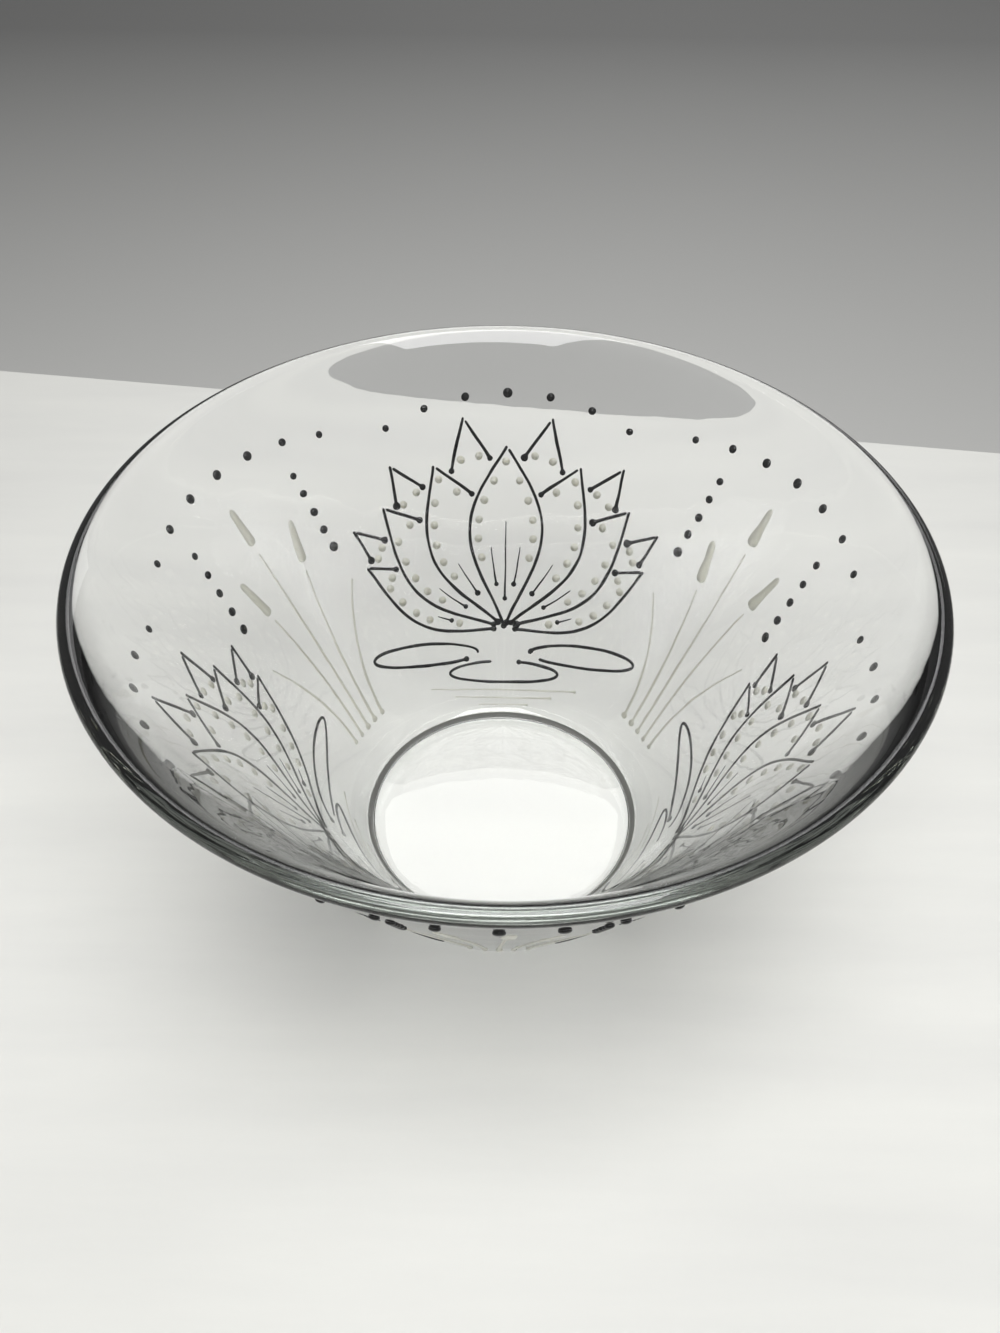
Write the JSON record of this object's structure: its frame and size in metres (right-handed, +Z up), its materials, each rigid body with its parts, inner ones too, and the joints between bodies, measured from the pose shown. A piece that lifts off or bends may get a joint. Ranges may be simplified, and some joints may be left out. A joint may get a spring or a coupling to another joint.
{
  "type": "floating candle bowl",
  "caption": "Flared clear glass bowl with a rounded lip, a thick recessed base and raised contour decoration, for water and floating candles.",
  "frame": {"origin": "centre of the resting ring under the base, at table level", "axes": "+Z up along the bowl's axis, towards its mouth; +Y towards the middle of the first blossom"},
  "size_m": [0.23, 0.23, 0.1249],
  "materials": {
    "clear_glass": "clear soda-lime glass, fire-polished, faint grey-green at the edges",
    "black_paste": "glossy black raised contour paste",
    "champagne_paste": "satin champagne pearl raised paste"
  },
  "bodies": {
    "root": {"glass_bowl": "clear_glass", "blossom_1_dots": "champagne_paste", "blossom_1_drops": "black_paste", "blossom_1_petals": "black_paste", "blossom_1_veins": "black_paste", "blossom_2_dots": "champagne_paste", "blossom_2_drops": "black_paste", "blossom_2_petals": "black_paste", "blossom_2_veins": "black_paste", "blossom_3_dots": "champagne_paste", "blossom_3_drops": "black_paste", "blossom_3_petals": "black_paste", "blossom_3_veins": "black_paste", "pads_1": "black_paste", "pads_2": "black_paste", "pads_3": "black_paste", "reeds_1_blades": "champagne_paste", "reeds_1_drops": "black_paste", "reeds_1_heads": "champagne_paste", "reeds_2_blades": "champagne_paste", "reeds_2_drops": "black_paste", "reeds_2_heads": "champagne_paste", "reeds_3_blades": "champagne_paste", "reeds_3_drops": "black_paste", "reeds_3_heads": "champagne_paste", "ripples_1": "champagne_paste", "ripples_2": "champagne_paste", "ripples_3": "champagne_paste"}
  },
  "joints": []
}
